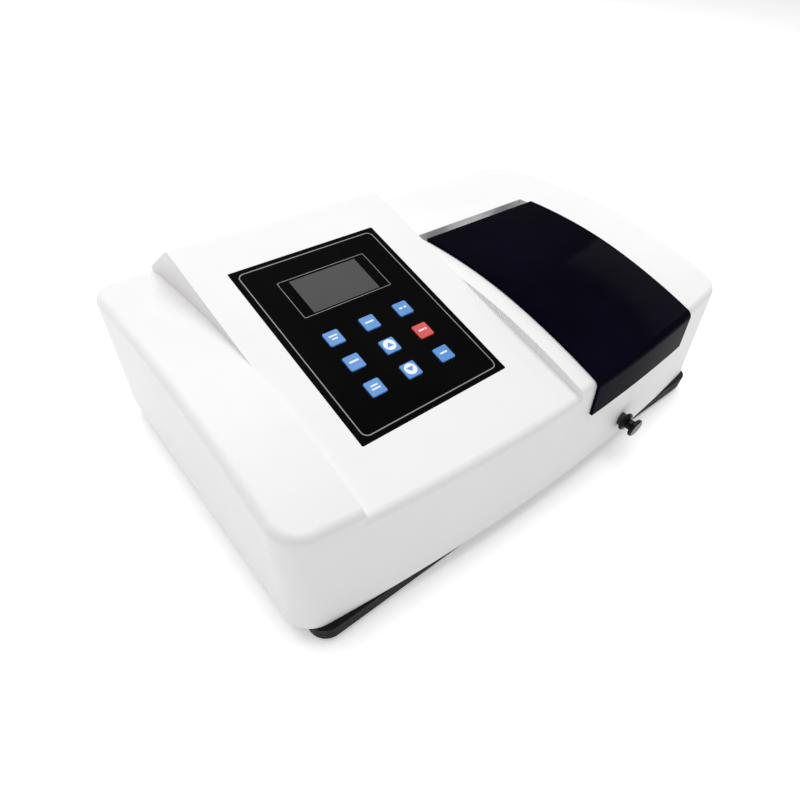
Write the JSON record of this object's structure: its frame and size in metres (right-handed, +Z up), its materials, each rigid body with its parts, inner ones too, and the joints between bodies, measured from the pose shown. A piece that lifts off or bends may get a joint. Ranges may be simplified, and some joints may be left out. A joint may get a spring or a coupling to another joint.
{
  "type": "spectrophotometer",
  "caption": "Bench spectrophotometer with a bow-front white housing, sloping black key panel with display, glossy hinged sample lid and a front pull-rod cell changer.",
  "frame": {"origin": "middle of the footprint at table level", "axes": "+Z up, -Y the front with the pull knob, +X to the right seen from the front"},
  "size_m": [0.48, 0.337, 0.1619],
  "materials": {
    "base": "black moulded",
    "screws": "zinc plated",
    "alloy": "machined alloy",
    "lid": "polished black",
    "lens": "clear glass",
    "panel": "black film over plastic",
    "cuvette": "clear glass cells",
    "board": "coated circuit board",
    "black_parts": "black moulded",
    "steel": "bright steel",
    "grating": "ruled mirror",
    "bulb": "quartz bulb",
    "key_blue": "moulded key",
    "key_red": "moulded key",
    "ceramic": "unglazed ceramic",
    "lcd": "grey display",
    "lcd_glass": "clear window",
    "brass": "turned brass",
    "rocker": "black rocker",
    "knob": "polished black",
    "feet": "matte rubber",
    "cover": "fine moulded satin",
    "transformer": "varnished laminations"
  },
  "bodies": {
    "housing": {"base_plate": "base", "base_screws": "screws", "collimating_mirrors": "alloy", "condenser_lens": "lens", "control_panel": "panel", "data_ports": "alloy", "detector_housing": "alloy", "display_board": "board", "fan_frame": "black_parts", "fan_grille": "steel", "filter_motor": "steel", "fuse_holder": "black_parts", "grating_motor": "steel", "guide_rods": "steel", "halogen_lamp": "bulb", "hinge_brackets": "black_parts", "hinge_pins": "steel", "lamp_house": "alloy", "lamp_socket": "ceramic", "lcd_module": "lcd", "lcd_window": "lcd_glass", "main_board": "board", "mono_cover": "alloy", "mono_housing": "alloy", "optical_bench": "alloy", "photodiode": "board", "power_inlet": "black_parts", "power_supply": "board", "rod_bushing": "black_parts", "rubber_feet": "feet", "sample_compartment": "black_parts", "slit_plates": "steel", "switch_frame": "black_parts", "top_cover": "cover", "transformer": "transformer"},
    "lid": {"compartment_lid": "lid"},
    "changer": {"cell_carriage": "alloy", "cuvettes": "cuvette", "pull_rod": "steel", "pull_knob": "knob"},
    "grating_stage": {"grating_table": "alloy", "grating": "grating"},
    "pinion": {"motor_pinion": "brass"},
    "wheel": {"filter_wheel": "black_parts"},
    "fan": {"fan_rotor": "black_parts"},
    "rocker": {"power_rocker": "rocker"},
    "key_1_body": {"key_1": "key_blue"},
    "key_2_body": {"key_2": "key_blue"},
    "key_3_body": {"key_3": "key_blue"},
    "key_4_body": {"key_4": "key_blue"},
    "key_5_body": {"key_5": "key_blue"},
    "key_6_body": {"key_6": "key_red"},
    "key_7_body": {"key_7": "key_blue"},
    "key_8_body": {"key_8": "key_blue"},
    "key_9_body": {"key_9": "key_blue"}
  },
  "joints": [
    {"name": "lid_hinge", "type": "hinge", "parent": "housing", "child": "lid", "pos_m": [0.09915, 0.058, 0.128], "axis": [-1, 0, 0], "range_deg": [0, 75]},
    {"name": "changer_slide", "type": "slide", "parent": "housing", "child": "changer", "axis": [0, -1, 0], "range_m": [0, 0.054]},
    {"name": "grating_turn", "type": "hinge", "parent": "housing", "child": "grating_stage", "pos_m": [-0.046, -0.0235, 0.03], "axis": [0, 0, 1], "range_deg": [-20, 20]},
    {"name": "pinion_turn", "type": "hinge", "parent": "housing", "child": "pinion", "pos_m": [-0.01, -0.0435, 0.0265], "axis": [0, 0, 1], "range_deg": [-80, 80]},
    {"name": "filter_wheel_turn", "type": "hinge", "parent": "housing", "child": "wheel", "pos_m": [-0.138, 0.0945, 0.078], "axis": [1, 0, 0], "continuous": true},
    {"name": "fan_spin", "type": "hinge", "parent": "housing", "child": "fan", "pos_m": [-0.178, 0.1545, 0.062], "axis": [0, 1, 0], "continuous": true},
    {"name": "power_rocker_tilt", "type": "hinge", "parent": "housing", "child": "rocker", "pos_m": [0.1125, 0.1615, 0.05], "axis": [1, 0, 0], "range_deg": [-5, 5]},
    {"name": "key_1_press", "type": "slide", "parent": "housing", "child": "key_1_body", "axis": [0, 0.2375, -0.9714], "range_m": [0, 0.0005], "stiffness_N_per_m": 1500, "springref_m": -0.0002},
    {"name": "key_2_press", "type": "slide", "parent": "housing", "child": "key_2_body", "axis": [0, 0.2375, -0.9714], "range_m": [0, 0.0005], "stiffness_N_per_m": 1500, "springref_m": -0.0002},
    {"name": "key_3_press", "type": "slide", "parent": "housing", "child": "key_3_body", "axis": [0, 0.2375, -0.9714], "range_m": [0, 0.0005], "stiffness_N_per_m": 1500, "springref_m": -0.0002},
    {"name": "key_4_press", "type": "slide", "parent": "housing", "child": "key_4_body", "axis": [0, 0.2375, -0.9714], "range_m": [0, 0.0005], "stiffness_N_per_m": 1500, "springref_m": -0.0002},
    {"name": "key_5_press", "type": "slide", "parent": "housing", "child": "key_5_body", "axis": [0, 0.2375, -0.9714], "range_m": [0, 0.0005], "stiffness_N_per_m": 1500, "springref_m": -0.0002},
    {"name": "key_6_press", "type": "slide", "parent": "housing", "child": "key_6_body", "axis": [0, 0.2375, -0.9714], "range_m": [0, 0.0005], "stiffness_N_per_m": 1500, "springref_m": -0.0002},
    {"name": "key_7_press", "type": "slide", "parent": "housing", "child": "key_7_body", "axis": [0, 0.2375, -0.9714], "range_m": [0, 0.0005], "stiffness_N_per_m": 1500, "springref_m": -0.0002},
    {"name": "key_8_press", "type": "slide", "parent": "housing", "child": "key_8_body", "axis": [0, 0.2375, -0.9714], "range_m": [0, 0.0005], "stiffness_N_per_m": 1500, "springref_m": -0.0002},
    {"name": "key_9_press", "type": "slide", "parent": "housing", "child": "key_9_body", "axis": [0, 0.2375, -0.9714], "range_m": [0, 0.0005], "stiffness_N_per_m": 1500, "springref_m": -0.0002}
  ],
  "couplings": [
    {"joint": "pinion_turn", "follows": "grating_turn", "ratio": -4}
  ]
}
